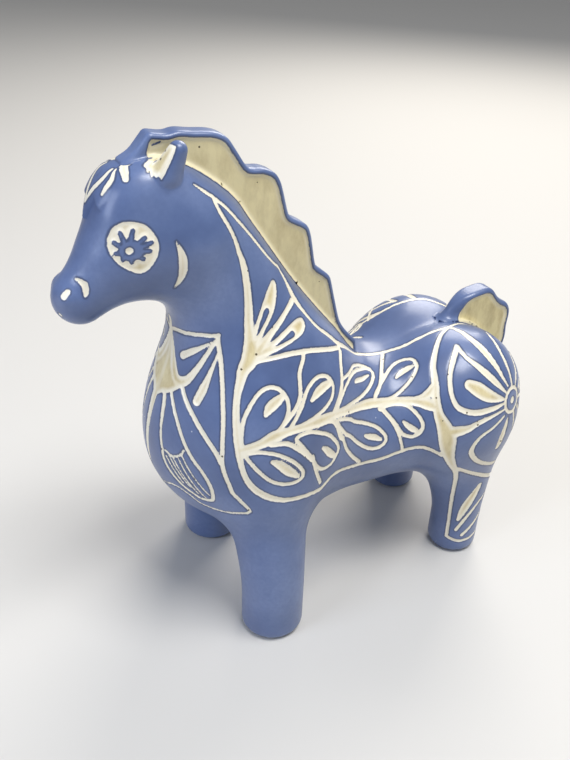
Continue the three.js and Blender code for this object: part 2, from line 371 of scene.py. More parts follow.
def seated(part, blend, skirt, sink=1.5):
    """The part, with a soft fillet onto the skin and a foot that goes sink mm into it."""

    def field(p):
        on_skin = skin(p)
        own = part(p)
        d = smooth_min(on_skin, own, blend)
        return np.maximum(np.maximum(d, own - skirt), -(on_skin + sink))

    return field


def plate(outline, half, along):
    """A closed plate: an outline as a face, pushed out to its thickness in edit mode."""
    mesh = bpy.data.meshes.new("plate")
    if along == "y":
        corners = [(u * MM, -half * MM, v * MM) for u, v in outline]
        push = (0, 2 * half * MM, 0)
    else:
        corners = [(-80 * MM, u * MM, v * MM) for u, v in outline]
        push = (20 * MM, 0, 0)
    mesh.from_pydata(corners, [], [tuple(range(len(corners)))])
    piece = bpy.data.objects.new("plate", mesh)
    bpy.context.scene.collection.objects.link(piece)
    only(piece)
    bpy.ops.object.mode_set(mode="EDIT")
    bpy.ops.mesh.select_all(action="SELECT")
    bpy.ops.mesh.extrude_region_move(TRANSFORM_OT_translate={"value": push})
    bpy.ops.mesh.select_all(action="SELECT")
    bpy.ops.mesh.quads_convert_to_tris()
    bpy.ops.mesh.normals_make_consistent(inside=False)
    bpy.ops.object.mode_set(mode="OBJECT")
    return piece


def seat(piece, name, part, blend, skirt, cell):
    piece.name = name
    field = seated(part, blend, skirt)
    remesh(piece, 0.8)
    move_points(piece, settle(points_of(piece), field, 8, 1.5))
    remesh(piece, cell)
    move_points(piece, settle(points_of(piece), field, 3, 0.6))
    return piece


mane_piece = seat(plate(mane_outline, MANE_HALF, "y"), "mane_of_cream_clay", mane, 1.4, 1.0, 0.5)
tail_piece = seat(plate(tail_outline, TAIL_HALF, "y"), "tail_of_cream_clay", tail, 4.5, 2.8, 0.45)
forelock_piece = seat(plate(forelock_outline, 0, "x"), "forelock_pressed_on", forelock, 1.0, 0.5, 0.4)
ear_pieces = []
for side, name in ((-1, "ear_left_pinched"), (1, "ear_right_pinched")):
    bud = lump((-53.4, side * 9.6, 167), (5, 4.6, 9))
    ear_pieces.append(seat(bud, name, ear, 1.6, 0.9, 0.4))

# ---- The cut decoration: strokes through the blue glaze to the cream clay ----
# The pattern is scratched and wiped through the damp glaze with a loop tool before firing, so
# its lines swell and thin like pen strokes and lie a little under the blue. Half widths are in
# millimetres and follow a point as a last number. The far flank mirrors the near one.
# A stroke is drawn as (x, z) seen from the SIDE, as (y, z) seen from the FRONT, or in SPACE.
SIDE, FRONT, SPACE, SLANT = "side", "front", "space", "slant"
cream_strokes = []
near_strokes = []
far_strokes = []
blue_strokes = []
dots = []
areas = []


def stroke(view, points, r=0.6, closed=False, into=cream_strokes):
    places = 3 if view == SPACE else 2
    rows = [tuple(point) + ((r,) if len(point) == places else ()) for point in points]
    into.append(curve(rows, 1.1, closed) if len(rows) > 1 else np.array(rows * 2, float))
    into[-1] = (view, np.vstack([into[-1], into[-1][:1]]) if closed else into[-1])


def fill(view, points, r=0.25):
    """A cut-away area inside an outline; SLANT looks at the ear from its front and above."""
    areas.append((view, np.array(points, float) if view == SLANT else curve(points, 1.1, True), r))


# Neck: the long line from the poll to the tail, and the line behind the emblem
stroke(SIDE, [
    (-47, 162.5, 0.3), (-43.5, 159.8), (-41.5, 158.3), (-38, 155), (-34.5, 150.8), (-31.5, 147.2),
    (-28, 142.6), (-25, 138.6), (-22, 135), (-20.2, 133.2),
], 0.6)
stroke(SPACE, [
    (-20.2, -9, 133.2, 0.6), (-18.2, -10.5, 129.3, 0.8), (-17, -12.4, 125.9, 1.2),
    (-15.8, -13.8, 122.8, 1.2), (-13, -15, 118.3, 0.75), (-8.8, -16, 113, 0.7), (-3.4, -15.2, 107.9, 0.9),
    (0.7, -14.7, 103.8, 1.1), (4.7, -12.4, 100.5, 0.9), (9, -9.6, 96.8, 0.75),
], 0.7)
# On the near side the line runs close to the middle of the back, on the far side well out
stroke(SPACE, [
    (9, -9.6, 96.8), (13.5, -6.2, 92.8), (17.9, -3.8, 89.9), (24.5, -3.4, 88.3), (29.8, -4.4, 88.9),
    (34.7, -6, 90.6), (41, -6.8, 93), (45.7, -7.4, 94.6), (52.2, -8.4, 95.8), (59.5, -6.6, 94.6),
    (65.3, -8.2, 93.9),
], 0.72, into=near_strokes)
FAR_LINE = [
    (9, 9.6, 96.8), (17, 12.5, 89), (25, 17, 84.6), (32, 20.6, 86.6), (36.6, 18.7, 89.9),
    (41.1, 17.6, 92.6), (45.5, 16.8, 94.4), (49.5, 15.9, 95.5), (53.6, 15, 96), (57.7, 13.6, 95.8),
    (61.3, 11, 95), (65.3, 9, 93.9),
]
stroke(SPACE, FAR_LINE, 0.7, into=far_strokes)
stroke(SPACE, [
    (65.3, -8.2, 93.9), (68.1, -11.2, 93.2), (71.2, -16.1, 90.5), (72.8, -19.6, 87.6, 0.4),
], 0.65)
stroke(SIDE, [
    (-42, 158.5, 0.5), (-40.8, 155), (-38.8, 151), (-37, 147), (-35.8, 142.6, 0.8), (-34.8, 138.9, 1.05),
    (-34.4, 134.4, 1.15), (-34.3, 129.9, 1.2), (-34.5, 125.3, 1.3), (-34.9, 121.7, 1.4), (-35, 117.7, 1.8),
    (-35.2, 113.8, 2.7), (-36.5, 111, 2.5), (-38.4, 108.6, 1.9), (-40, 105, 1.4), (-41.5, 101, 1.1),
    (-42.6, 96, 1.1), (-43.2, 90, 1.2), (-43.2, 84, 1.2), (-42.8, 79, 0.9), (-41.5, 74, 1), (-39, 70, 1.2),
    (-35, 66.8, 1.2), (-30, 64.8, 0.9), (-25, 64, 0.8), (-20, 63.2, 0.8), (-15, 62.2, 1),
    (-12.5, 63.5, 0.9), (-10, 65, 0.8), (-7, 65.3, 0.7), (-3, 64.3), (2, 63), (8, 62), (14, 61.7),
    (20, 62.2), (24, 63), (28, 63.2), (31, 62.2), (34, 60.3), (37, 58),
], 0.65)
# Neck fan: two slit petals and a ray from one root, and the border under them
stroke(SIDE, [
    (-34.6, 114.4, 1.2), (-31.6, 119.9, 1.7), (-28.2, 124.5, 2.3), (-25.9, 128.1, 2.1), (-24.5, 130.4, 1.3),
])
stroke(SIDE, [(-33.3, 117.4, 0.1), (-30.9, 120.9, 0.7), (-28.6, 124.1, 1.0)], into=blue_strokes)
stroke(SIDE, [
    (-33.2, 113.6, 1.9), (-29, 117.3, 1.1), (-25.1, 119.8, 0.9), (-21.3, 122, 0.85), (-17.8, 123.4, 1),
])
stroke(SIDE, [
    (-34, 112.6, 1.5), (-27.5, 114.3, 1.7), (-22, 115.8, 2.3), (-17.9, 116.6, 2.5), (-16.2, 117, 1.9),
])
stroke(SIDE, [(-27.7, 114.1, 0.15), (-23.8, 115.1, 0.7), (-20.8, 115.8, 1.1)], into=blue_strokes)
stroke(SIDE, [
    (-37.6, 110.2, 1.3), (-33, 111, 0.7), (-24.4, 111.2), (-17, 110), (-11.3, 108.2), (-5, 105.6),
    (0, 103.4),
], 0.78)

# Flank: a leafy stem, with four leaves above it and four below, each round a seed
stroke(SIDE, [
    (-43, 84.5, 1.4), (-37, 87, 1.5), (-33, 89, 1.9), (-28, 90, 1.4), (-22, 90, 1.4), (-15, 89.5, 1.8),
    (-9, 88.5, 1.3), (-3, 86.5, 1.3), (4, 84, 1.4), (10, 82, 1.7), (16, 80.5, 1.4), (22, 79.8, 1.4),
    (28, 79.6, 1.6), (31.2, 79.1, 2.1), (33.4, 78.2, 1.6),
])
leaf_outlines = [
    [
        (-42, 86), (-42, 90), (-40.8, 94.5), (-38.5, 98.5), (-35.5, 102), (-32.5, 103.5), (-29.8, 103),
        (-27.8, 101), (-27, 98), (-27.8, 95), (-30, 92), (-33.5, 89), (-38, 87),
    ],
    [
        (-27.5, 90.5), (-24.5, 94), (-22, 97), (-19.4, 100.4), (-15.6, 102), (-12.2, 101.6), (-9.4, 99.8),
        (-8.5, 97.5), (-9.5, 94.8), (-12.5, 93), (-17, 91.8), (-22, 91),
    ],
    [
        (-8, 89.5), (-4.5, 92.5), (-1, 94), (3, 94.3), (7, 93), (11, 90.8), (15, 88.8), (17.2, 87.3),
        (15, 86), (10.6, 85.5), (5.6, 86), (0, 87.3), (-5, 88.3),
    ],
    [
        (-42, 83.5), (-41, 83.8), (-37, 84.2), (-32.5, 83), (-28.5, 80.5), (-25.5, 77.5), (-23.5, 74.2),
        (-24, 72), (-26.5, 71), (-30, 71.3), (-34, 73), (-37.5, 76.5), (-40, 80), (-41.5, 82.5),
    ],
    [
        (-21, 87.8), (-16, 85.5), (-12.2, 82.8), (-8.9, 78.3), (-8.1, 75.6), (-9.7, 72.8), (-12.2, 71.1),
        (-15.6, 71.7), (-18.3, 74.4), (-20.3, 78.3), (-23.9, 83.9), (-25.8, 87.2),
    ],
    [
        (-8.3, 86), (-2.2, 83.3), (1.1, 80.6), (6.7, 77.2), (11.7, 73.9), (14.7, 70), (13.9, 67.8),
        (10.6, 66.9), (6.7, 68.3), (2.2, 72.2), (-1.7, 76.7), (-5, 80),
    ],
    [
        (14, 79), (22.8, 78.9), (26.1, 77.2), (28.3, 73.9), (28.6, 71.1), (27.2, 68.9), (25, 68),
        (22.2, 68.9), (20.6, 70.6), (18.9, 73.9), (15.6, 78.3),
    ],
]
for outline in leaf_outlines:
    stroke(SIDE, outline, 0.65, closed=True)
last_leaf = [
    (13.4, -20.9, 82.3), (19.8, -15.6, 85), (26, -11.7, 87.1), (30.2, -11.6, 88.5), (33, -13.7, 89.3),
    (32.9, -17.1, 88.3), (29.5, -19.4, 85.5), (24.8, -20.6, 82.4), (19.6, -21.2, 80.7),
]
last_seed = [(25, -16.2, 85, 0.5), (27.4, -15.6, 86.2, 1), (30, -15.7, 87.3, 1), (31.8, -16, 88, 0.6)]
last_rib = [(27.1, -3.8, 88.4), (22.8, -9.9, 87.3), (17.7, -17.1, 84.3), (13.4, -20.9, 82.3)]


def lower_on_far_side(points):
    """The far flank's copy of strokes near the back sits some 6 mm lower than the near one."""
    return [(point[0], 6 - point[1], point[2] - 3) + tuple(point[3:]) for point in points]


stroke(SPACE, last_leaf, 0.6, closed=True, into=near_strokes)
stroke(SPACE, lower_on_far_side(last_leaf), 0.6, closed=True, into=far_strokes)
for points in (last_seed, last_rib):
    stroke(SPACE, points, 0.65, into=near_strokes)
    stroke(SPACE, lower_on_far_side(points), 0.65, into=far_strokes)
stroke(SPACE, [(43.4, 29.8, 88.6), (39.7, 24.7, 88.6), (34.9, 18.8, 88.9)], 0.6, into=far_strokes)
seeds = [
    [(-34.5, 95.8, 0.7), (-33, 97.8, 1.6), (-30.5, 99.4, 1.6), (-28.5, 100.5, 1)],
    [(-18.6, 96.8, 0.6), (-15.5, 98.2, 1.5), (-12.4, 98.7, 1.5), (-9.8, 98.6, 1.1)],
    [(4.4, 91.4, 0.5), (6.1, 90.8, 0.8), (10, 88.9, 0.8), (14.4, 87.6, 0.4)],
    [(-34, 80.6, 0.7), (-32, 79.5, 1.4), (-28.5, 75.9, 1.6), (-25.5, 73.2, 0.8)],
    [(-15.6, 80, 0.6), (-14, 78.5, 1.1), (-12, 76, 1.3), (-9.5, 73.5, 0.8)],
    [(5.6, 73.4, 0.5), (7.5, 72.3, 1), (10.2, 71, 1.1), (12.5, 69.6, 0.6)],
    [(22.2, 73.6, 0.5), (23.5, 72.2, 1), (25.5, 70.6, 1.1), (27, 69.7, 0.7)],
]
for seed in seeds:
    stroke(SIDE, seed)
flank_lines = [
    (
        [
            (-17.9, 110.4), (-18.9, 108.3), (-21.1, 105.6), (-21.9, 102), (-22.5, 99.3), (-24.5, 96.5),
            (-28.9, 92.8), (-32.8, 89.4),
        ],
        0.7,
    ),
    ([(0, 102.8), (-2.2, 100), (-3.3, 96.7), (-5.6, 93.3), (-10, 89.4)], 0.9),
    ([(-3.3, 96.5), (1, 95.8), (5.6, 95), (9.4, 92.8), (13.3, 90.3), (17, 88)], 0.55),
    ([(-34, 86.6), (-29, 86.2), (-25.5, 83.5), (-22.5, 80.5), (-20, 77.5)], 0.8),
    ([(-20, 78.9), (-18.9, 74.4), (-17.2, 69.4), (-15.6, 65.6)], 0.65),
    ([(-17.8, 88.9), (-11.7, 87.8), (-8.9, 85), (-7.2, 80), (-5.8, 78.3)], 0.9),
    ([(-5.8, 78.3), (-3.9, 73.3), (-0.6, 68.3), (3.3, 63.9)], 0.65),
    ([(15.6, 78.3, 0.9), (18.3, 73.9, 0.6), (20, 69.4), (21.1, 65), (21.7, 62.8)], 0.55),
]
for points, r in flank_lines:
    stroke(SIDE, points, r)
stroke(SPACE, [
    (12.5, -22.5, 80.6), (22.7, -23.1, 79.4), (29.4, -25.5, 80.6, 1.1), (31.8, -26.6, 82.4, 1.5),
    (34.2, -25.8, 84.2, 1.2),
], 0.9)

# Hip: the broad band from the back line down to the hind foot, and a daisy with long petals
hip_strokes = [
    # The broad band
    [
        (52.2, -8.8, 95.7, 0.7), (47, -11.2, 95.2, 0.7), (42.5, -14.8, 93.7, 0.85), (39, -18.4, 91.3, 0.95),
        (37.1, -20.8, 89.3, 1), (36, -23.4, 87.1, 1.15), (35.1, -26, 84.4, 1.3), (34.1, -28.5, 80.9, 1.4),
        (34, -31.2, 76.1, 1.7), (35, -32.9, 72.9, 2.3), (36.3, -34.2, 69.3, 3.0), (37.2, -34.8, 65.4, 3.2),
        (38, -34.7, 61.7, 2.7), (39.9, -34.3, 56.6, 1.9), (42.7, -33.7, 51.5, 1.4), (45.6, -32.6, 47.4, 1),
        (47.8, -31, 42, 0.8), (49, -29.8, 36, 0.7), (49.9, -28.8, 30, 0.7), (50.6, -28.3, 22.8, 0.65),
        (51.2, -28.1, 14.4, 0.65), (51.3, -28.2, 8.4, 0.65),
    ],
    # Its arm towards the daisy
    [
        (37.8, -34.8, 69, 2.4), (40.9, -36, 69.6, 2.0), (44, -37.1, 70.4, 1.4), (47.4, -37.6, 72.1, 1),
        (50.4, -37.9, 73, 0.85), (53.8, -37.9, 73.7, 0.6), (59.2, -37.2, 74.4, 0.4),
    ],
    # Front petal, lower edge
    [
        (47.6, -19.6, 94.2, 0.9), (44.9, -22.2, 92.5, 1), (42.2, -24.6, 90.1, 0.95),
        (40.3, -26.8, 87.4, 0.8), (39.2, -29.4, 84, 0.8), (39.2, -31.4, 81.3, 0.8),
        (40.2, -33.4, 78.6, 0.9), (42.9, -35.1, 77, 1), (46.7, -36.6, 76.2, 1.1), (51, -37.2, 76.3, 1.1),
        (55.1, -37.2, 76.5, 0.85), (59.1, -36.6, 76.9, 0.4),
    ],
    # Front petal, upper edge
    [
        (47.6, -19.8, 94.2, 0.8), (48.2, -24.6, 92.4, 0.75), (50.5, -28.3, 90.4, 1.05),
        (52.9, -31, 88.1, 1.3), (55.8, -33.3, 85.1, 1.25), (58.5, -34.7, 82.3, 0.75),
        (60.3, -35.1, 80.4, 0.4),
    ],
    # Front petal, middle
    [
        (45.7, -31.7, 85.4, 1.9), (48.3, -33.5, 83.9, 2.6), (51.4, -35.3, 81.7, 2.4),
        (55.3, -36.2, 79.9, 1.6), (58.7, -36.2, 78.5, 0.6),
    ],
    # Upper ray
    [
        (52.2, -8.8, 95.7, 0.7), (53.6, -13.3, 96.1, 0.9), (54.4, -18.7, 95.4, 1.2),
        (55.8, -23.4, 93.7, 1.5), (57.2, -27.5, 91.1, 1.35), (58.8, -30.6, 88, 1),
        (60.2, -32.7, 84.9, 0.65), (62, -33.9, 81.9, 0.35),
    ],
    # Ray beside the tail
    [
        (65.3, -14.1, 93.5, 0.4), (64.7, -18.8, 93.2, 0.65), (64, -24.5, 91.1, 0.85),
        (64.2, -28.5, 88, 0.75), (64.5, -31.1, 84.8, 0.6), (64.6, -33.1, 81.4, 0.45),
    ],
    # Ray behind it
    [
        (72.6, -19.6, 87.6, 0.55), (71.2, -24.3, 86, 0.85), (70.5, -27.3, 83.8, 0.85),
        (68.8, -30.3, 81.9, 0.65), (66.8, -32.7, 79.8, 0.4),
    ],
    # Rear petal
    [(70.8, -30, 76, 0.6), (74.4, -26.4, 75.4, 1.5), (77.4, -20.4, 73.6, 1.5), (78.8, -15, 71.4, 0.6)],
    # Lower rear petal
    [(70.6, -30.6, 66.4, 0.5), (72.6, -27.4, 60, 1.5), (73, -25, 53.6, 1.2), (72.4, -24, 49, 0.5)],
    # Lower petal, edge
    [
        (59.5, -37.6, 71.8, 0.45), (54.3, -38.6, 68.9, 0.55), (49.2, -38.5, 66.3, 0.65),
        (46.9, -38, 62.5, 0.8), (47.1, -37.5, 58.6, 0.95), (51, -36.9, 53.6, 0.95),
        (57.2, -35.8, 49.4, 0.85), (66, -32.6, 45, 0.75),
    ],
    # Lower petal, middle
    [
        (61.7, -37.3, 69.6, 0.6), (60.8, -37.8, 65.7, 1.3), (60, -37.9, 61.4, 1.6),
        (59.4, -37.6, 57.8, 1.1),
    ],
    # Leaf on the leg
    [(58.9, -33.3, 36.5, 1), (57.2, -32.9, 31.8, 1.8), (55, -31.8, 25, 1.8), (53.7, -30.6, 18.2, 0.7)],
]
for points in hip_strokes:
    stroke(SPACE, points)
space_rays = [
    (
        [
            (72.8, -19.6, 87.6), (76.2, -17, 82), (78.6, -14.6, 75), (79.6, -12.4, 67), (78.6, -11, 58),
            (75.6, -10.4, 50),
        ],
        0.65,
    ),
    ([(69.6, -32, 74.6), (74.6, -26, 71), (78, -19, 66), (79.6, -12.4, 62)], 0.65),
    ([(69.8, -31, 77.8), (75.4, -25, 79.6), (77.8, -17.6, 79)], 0.7),
    ([(68.4, -33, 71.6), (72.6, -28.6, 64), (74.8, -23, 55), (74.6, -19, 47)], 0.7),
    ([(65.6, -35, 70.4), (67.6, -33.8, 63), (69, -31.8, 54), (69, -29.6, 46)], 0.65),
]
for points, r in space_rays:
    stroke(SPACE, points, r)
stroke(SIDE, [(45.6, 49.4), (51.1, 46.1), (57.2, 42.8), (65.6, 37.8), (69, 35)], 0.9)
DAISY = (64.2, -35.2, 76.1)
for r, layer in ((5.3, cream_strokes), (4.0, blue_strokes), (1.3, dots)):
    stroke(SPACE, [DAISY, (64.3, -35.2, 76.1)], r, into=layer)
# Hind leg: one leaf between two lines and a rim
stroke(SPACE, [(66.6, -30.7, 29.3), (60.9, -32.3, 25.8), (56.5, -31.9, 19.3), (53.7, -30.5, 12.8)], 0.7)
stroke(SPACE, [(66.8, -30.5, 19.5), (61.4, -31.9, 15.2), (56.3, -31.8, 10)], 0.75)
stroke(SPACE, [
    (51.3, -28.2, 8.4), (55.2, -31.4, 6.8), (60.8, -32, 7.3), (67, -30.5, 8.5), (70.2, -26, 9),
], 0.65)
stroke(SPACE, [(70.2, -26, 9), (70.4, -25.6, 20), (71.6, -26, 31), (72, -27, 40), (70.5, -29, 46)], 0.65)

# Chest emblem, as seen from in front: a shield split down the middle
stroke(FRONT, [
    (-17.2, 117.6), (-17.8, 115), (-20, 109), (-23.6, 100), (-26.1, 92.8), (-27.8, 85), (-28.3, 80.5),
    (-28.9, 76.7), (-30, 71), (-30.4, 67.8), (-31.7, 65), (-33.3, 60.3, 0.5), (-30.5, 58.6, 0.45),
    (-26.7, 57.2, 0.4), (-22.8, 56.7, 0.4), (-19.5, 57.6, 0.4), (-17.2, 60.3, 0.4), (-14, 62, 0.4),
    (-10.5, 61.4, 0.4), (-7, 59.6, 0.4), (-4.5, 58.6, 0.4), (0, 58.2, 0.4),
], 0.7)
stroke(FRONT, [
    (-17.5, 116.6, 0.2), (-18.2, 113, 0.3), (-18.3, 110, 0.45), (-18.3, 105, 0.9), (-18.2, 101, 1.4),
    (-17.8, 97, 1.4),
])
stroke(FRONT, [(-17.2, 116.6, 0.25), (-14.8, 114, 0.5), (-11.6, 111.2, 1), (-8.3, 108.5, 1.2)])
stroke(FRONT, [
    (-17.3, 116.6, 0.35), (-16.5, 114, 0.6), (-14.8, 107.5, 0.9), (-12.5, 102, 1.4), (-9, 100.2, 2),
    (-6, 102.4, 2), (-3, 107.5, 1.4), (-0.5, 113, 1), (0, 117, 0.8),
])
stroke(FRONT, [(0, 118, 1), (0, 108, 1.4), (0, 96, 1.8), (0, 84, 1.3), (0, 70, 1), (0, 59, 0.5)])
fill(FRONT, [
    (0, 113), (-2.6, 106), (-6, 101.6), (-9, 100), (-12.4, 101.6), (-10.5, 98.6), (-7, 95.6), (-3.5, 94),
    (0, 93),
])
emblem_lines = [
    ([(-10, 101.5), (-14, 96.7), (-19, 91.7), (-23.5, 86.7), (-26.7, 82.5), (-28.3, 79)], 0.8),
    (
        [
            (-6.8, 98.5), (-9.5, 94.5), (-14, 88.5), (-17.3, 83.3), (-20.6, 78.3), (-23.3, 74.5),
            (-25, 70.5), (-25.5, 66.5), (-24.5, 61.8), (-21.5, 60.8),
        ],
        0.65,
    ),
    (
        [
            (-4, 96.8, 0.9), (-6.2, 92.8, 0.9), (-7.3, 88.3, 0.8), (-8.1, 83.5), (-8.9, 79.5), (-9.8, 76),
            (-10.3, 72.8), (-12.2, 69), (-16, 64.5), (-20.5, 61),
        ],
        0.55,
    ),
    ([(-11, 76.5), (-14, 75.7), (-16.8, 77.3), (-18, 79.8)], 0.42),
]
for points, r in emblem_lines:
    stroke(FRONT, points, r)
emblem_stripes = [
    ((-17.5, 77.5), (-24.3, 64)),
    ((-16.3, 76), (-22.8, 62)),
    ((-14.5, 75), (-21, 63)),
    ((-13, 75), (-19, 65)),
    ((-11.5, 74.5), (-17, 65.5)),
]
for start, end in emblem_stripes:
    stroke(FRONT, [start, end], 0.3)
stroke(SPACE, [
    (-52.4, 0, 114), (-52.2, -3.5, 115.4), (-50.8, -8.4, 116.2), (-47.9, -13.3, 117.3),
    (-44.2, -16.8, 117.9), (-43.5, -17.2, 118.2),
], 0.6)

# Face: a round eye with a flower in it, cheek crescent, nostril, and the locks on the forehead
fill(SIDE, [
    (-68.2, 155), (-64.5, 154.8), (-61.8, 153.2), (-60, 149.5), (-60.5, 145.9), (-62.7, 142.3), (-65, 141),
    (-67.7, 142), (-70.5, 144.1), (-72.3, 147.3), (-72.3, 150), (-70.9, 153.2),
])
EYE = (-67.7, 147.5)
stroke(SIDE, [EYE, (-66.4, 147.7)], 2.9, into=blue_strokes)
for tip in (
    (-69.3, 152.3), (-66.1, 153), (-63.2, 150.9), (-61.6, 149.5), (-62.2, 147.2), (-64.1, 145.1),
    (-67.2, 144.3), (-69.3, 145.1), (-70.9, 146.8), (-71.1, 149.7),
):
    stroke(SIDE, [EYE + (1.0,), tip + (0.72,)], into=blue_strokes)
stroke(SIDE, [EYE, (-67.4, 147.6)], 0.95, into=dots)
stroke(SIDE, [
    (-55, 149.3, 0.15), (-53.8, 146, 0.9), (-53.3, 142.5, 1.25), (-53.6, 138.5, 1), (-55.3, 134.5, 0.25),
])
stroke(SIDE, [(-81, 138.5, 0.4), (-79.3, 137.3, 1), (-79.3, 135, 0.8), (-79.6, 134, 0.4)])
stroke(SPACE, [(-84.3, -6.6, 136, 0.85), (-85.3, -6.1, 134.3, 1.05)])
stroke(SIDE, [(-86.3, 127.5), (-86, 127.2)], 0.5)
lock_strokes = [
    [(-63.2, -4.2, 168.7, 0.3), (-64.3, -3.9, 168.2, 0.45), (-65.6, -3.4, 167.6, 0.25)],
    [
        (-65.9, 1.5, 168.1, 0.25), (-68.1, 1.2, 166.7, 0.45), (-70.4, 0.8, 164.7, 0.45),
        (-71.5, 1.3, 163.3, 0.25),
    ],
    [
        (-67.4, -2.9, 167, 0.35), (-70, -3.3, 164.6, 0.65), (-72.8, -1.6, 161.4, 0.75),
        (-74.5, -0.1, 158, 0.4),
    ],
    [
        (-66.7, -3.8, 167.2, 0.25), (-68.6, -5.7, 165.2, 0.5), (-70.4, -6.1, 163, 0.55),
        (-71.5, -6.2, 161.5, 0.3),
    ],
    [(-63.8, -2.1, 168.1, 0.8), (-64.8, -5, 167, 1.1), (-65.4, -7.5, 165.4, 0.85)],
]
for points in lock_strokes:
    stroke(SPACE, points)
# The bare front of the ear runs down onto the head in a ragged brush edge
fill(SLANT, [
    (-54.3, 174.4), (-52, 173.3), (-52.7, 171.2), (-53.7, 169.3), (-55.1, 166.9), (-56.3, 165.1),
    (-57, 166), (-57.8, 165.8), (-58.4, 166.4), (-59, 166.1), (-59.4, 167.4), (-60.2, 167.4),
    (-60.4, 168.6), (-61.3, 169.5), (-57.8, 172.2),
], 0.1)


def onto_skin(view, rows):
    """The stroke's points on the skin, in space, with each point's half width beside it. Flat
    ones start outside the horse and walk inwards until they meet it."""
    if view == SPACE:
        p = rows[:, :3].copy()
    elif view == SIDE:
        p = np.stack([rows[:, 0], np.full(len(rows), -48.0), rows[:, 1]], axis=1)
    else:
        p = np.stack([np.full(len(rows), -76.0), rows[:, 0], rows[:, 1]], axis=1)
    if view != SPACE:
        way = np.array((0, 1, 0) if view == SIDE else (1, 0, 0), float)
        for _ in range(45):
            p = p + way * np.clip(skin(p), -1, 4)[:, None] * 0.9
    return settle(p, skin, 4), rows[:, -1]


REACH = 2.4


def stroke_distance(p, strokes, reach=REACH):
    """Signed distance from points to the nearest stroke, negative inside it."""
    least = np.full(len(p), reach)
    for view, rows in strokes:
        line, half = onto_skin(view, rows)
        margin = half.max() + reach
        near = np.flatnonzero(((p > line.min(0) - margin) & (p < line.max(0) + margin)).all(1))
        if not len(near):
            continue
        q = p[near]
        best = least[near]
        for a, b, ra, rb in zip(line, line[1:], half, half[1:]):
            r = max(ra, rb) + reach
            box = np.flatnonzero((np.abs(q - (a + b) / 2) < np.abs(b - a) / 2 + r).all(1))
            if not len(box):
                continue
            s = q[box]
            axis = b - a
            t = np.clip((s - a) @ axis / max(axis @ axis, 1e-9), 0, 1)
            d = np.sqrt(((s - a - t[:, None] * axis) ** 2).sum(1)) - ra - t * (rb - ra)
            best[box] = np.minimum(best[box], d)
        least[near] = best
    return least


def cut_depth(p):
    """Signed distance in mm to the edge of the cut: negative where the cream clay is bare.
    Between the back line and its far-side copy the back is plain, so nothing is cut there."""
    q = p.copy()
    q[:, 1] = -np.abs(q[:, 1])
    cut = stroke_distance(q, cream_strokes)
    far_line = np.interp(p[:, 0], [row[0] for row in FAR_LINE], [row[1] for row in FAR_LINE])
    on_back = (p[:, 0] > 12) & (p[:, 0] < 64) & (p[:, 2] > 76)
    cut[on_back & (p[:, 1] > 0) & (p[:, 1] < far_line)] = REACH
    cut = np.minimum(cut, np.where(p[:, 1] < 0, stroke_distance(p, near_strokes), 9))
    cut = np.minimum(cut, np.where(p[:, 1] > 0, stroke_distance(p, far_strokes), 9))
    for view, outline, r in areas:
        if view == SIDE:
            u, v, seen = q[:, 0], q[:, 2], q[:, 1] < -6
        elif view == FRONT:
            u, v, seen = q[:, 1], q[:, 2], q[:, 0] < -30
        else:
            # The ear seen from in front and above: depth shifts a point back and up
            u, v = q[:, 0] - 0.355 * (q[:, 1] + 10), q[:, 2] + 0.335 * (q[:, 1] + 10)
            seen = (q[:, 1] < -1.5) & (q[:, 2] > 158)
        low, high = outline.min(0) - 3, outline.max(0) + 3
        near = np.flatnonzero(seen & (u > low[0]) & (u < high[0]) & (v > low[1]) & (v < high[1]))
        cut[near] = np.minimum(cut[near], outline_distance(u[near], v[near], outline) - r)
    cut = np.maximum(cut, -stroke_distance(q, blue_strokes))
    return np.minimum(cut, stroke_distance(q, dots))


CUT_DEPTH = 0.4


def keep_cut(piece, cut):
    """Stores the distance to the cut's edge on the piece, for its material."""
    store = piece.data.attributes.new("cut", "FLOAT", "POINT")
    store.data.foreach_set("value", np.clip(cut, -REACH, REACH))


def field_normals(field, p):
    slope = value_and_slope(field, p)[1]
    return slope / np.maximum(np.linalg.norm(slope, axis=1), 1e-9)[:, None]


# The bared clay lies sunk below the glaze, with a soft step at the edge of the cut
skin_points = points_of(whole)
skin_cut = cut_depth(skin_points)
sink = CUT_DEPTH * (1 - smooth_step(skin_cut, -0.45, 0.2))
move_points(whole, skin_points - field_normals(skin, skin_points) * sink[:, None])
keep_cut(whole, skin_cut)


def mesh_normals(piece):
    flat = np.empty(len(piece.data.vertices) * 3)
    piece.data.vertices.foreach_get("normal", flat)
    return flat.reshape(-1, 3)


# Mane and tail: the panel inside the rim is bare cream clay; the ears' flat fronts are bare too
for piece, part, panel in ((mane_piece, mane, mane_panel), (tail_piece, tail, tail_panel)):
    p = points_of(piece)
    bare = np.maximum(panel(p, skin(p)) - 0.1, 1.2 - np.abs(p[:, 1]))
    if piece is mane_piece:
        dash = outline_distance(
            p[:, 0], p[:, 2], [(-56.4, 171.8), (-53.6, 172.5), (-53.4, 173.1), (-56.2, 172.4)]
        )
        bare = np.maximum(bare, -dash)
    foot = smooth_step(part(p), 0.1, 0.8)
    keep_cut(piece, np.minimum(bare, np.where(foot > 0, cut_depth(p) + REACH * (1 - foot), 9)))
for piece in ear_pieces:
    p = points_of(piece)
    q = p.copy()
    q[:, 1] = np.abs(q[:, 1])
    hollow = np.maximum(ear_scoop(q) - 0.25, 164.5 - q[:, 2])
    behind = 0.66 * (q[:, 0] + 53) - 0.75 * (q[:, 1] - 9.6) + 0.3
    keep_cut(piece, np.minimum(np.maximum(cut_depth(p), behind), hollow))
keep_cut(forelock_piece, cut_depth(settle(points_of(forelock_piece), skin, 4)))

